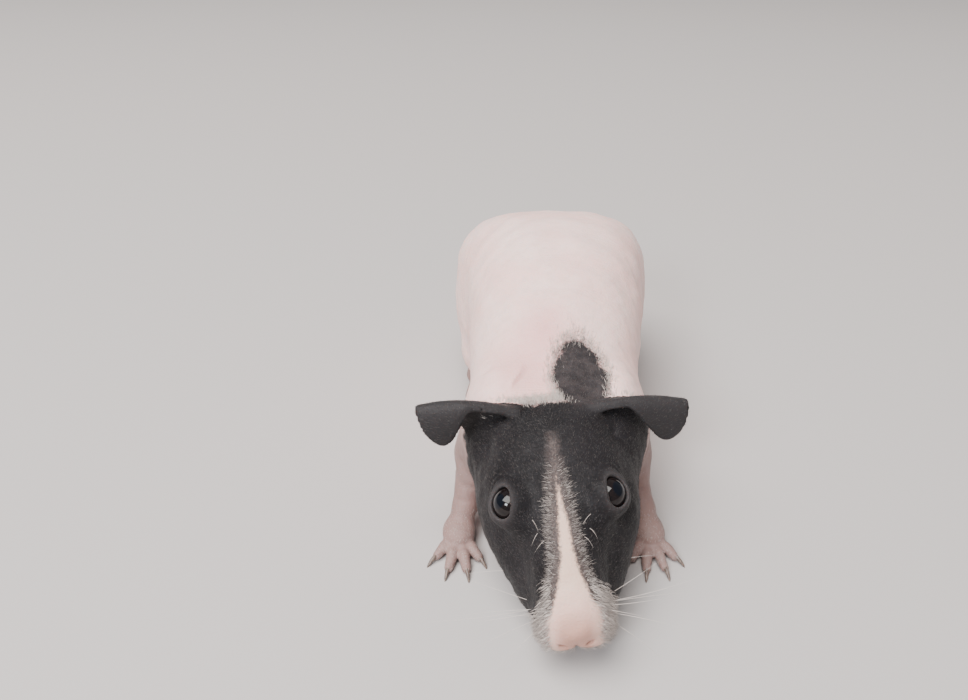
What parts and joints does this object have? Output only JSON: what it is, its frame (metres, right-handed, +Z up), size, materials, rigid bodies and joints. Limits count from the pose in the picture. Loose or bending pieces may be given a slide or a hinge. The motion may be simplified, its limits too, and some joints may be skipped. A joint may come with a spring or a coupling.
{
  "type": "skinny pig",
  "caption": "Life-size still model of a hairless guinea pig standing low with its head lowered: pink body, black head with a pink blaze, folded ears, short legs and no tail.",
  "frame": {"origin": "on the floor, under the middle of the animal's bounding box", "axes": "+Z up, +Y from the nose to the rump, +X to the animal's left"},
  "size_m": [0.103, 0.2386, 0.095],
  "materials": {
    "skin_pink": "bare pale pink skin, finely wrinkled, satin",
    "skin_black": "bare charcoal skin with very short fuzz, pink blaze down the face",
    "eye": "wet, glossy blue-black"
  },
  "bodies": {
    "root": {"head": "skin_black", "ear_left": "skin_black", "ear_right": "skin_black", "eye_left": "eye", "eye_right": "eye", "neck": "skin_pink", "torso": "skin_pink", "foreleg_left": "skin_pink", "foreleg_right": "skin_pink", "forepaw_left": "skin_pink", "forepaw_right": "skin_pink", "hindleg_left": "skin_pink", "hindleg_right": "skin_pink", "hindfoot_left": "skin_pink", "hindfoot_right": "skin_pink"}
  },
  "joints": []
}
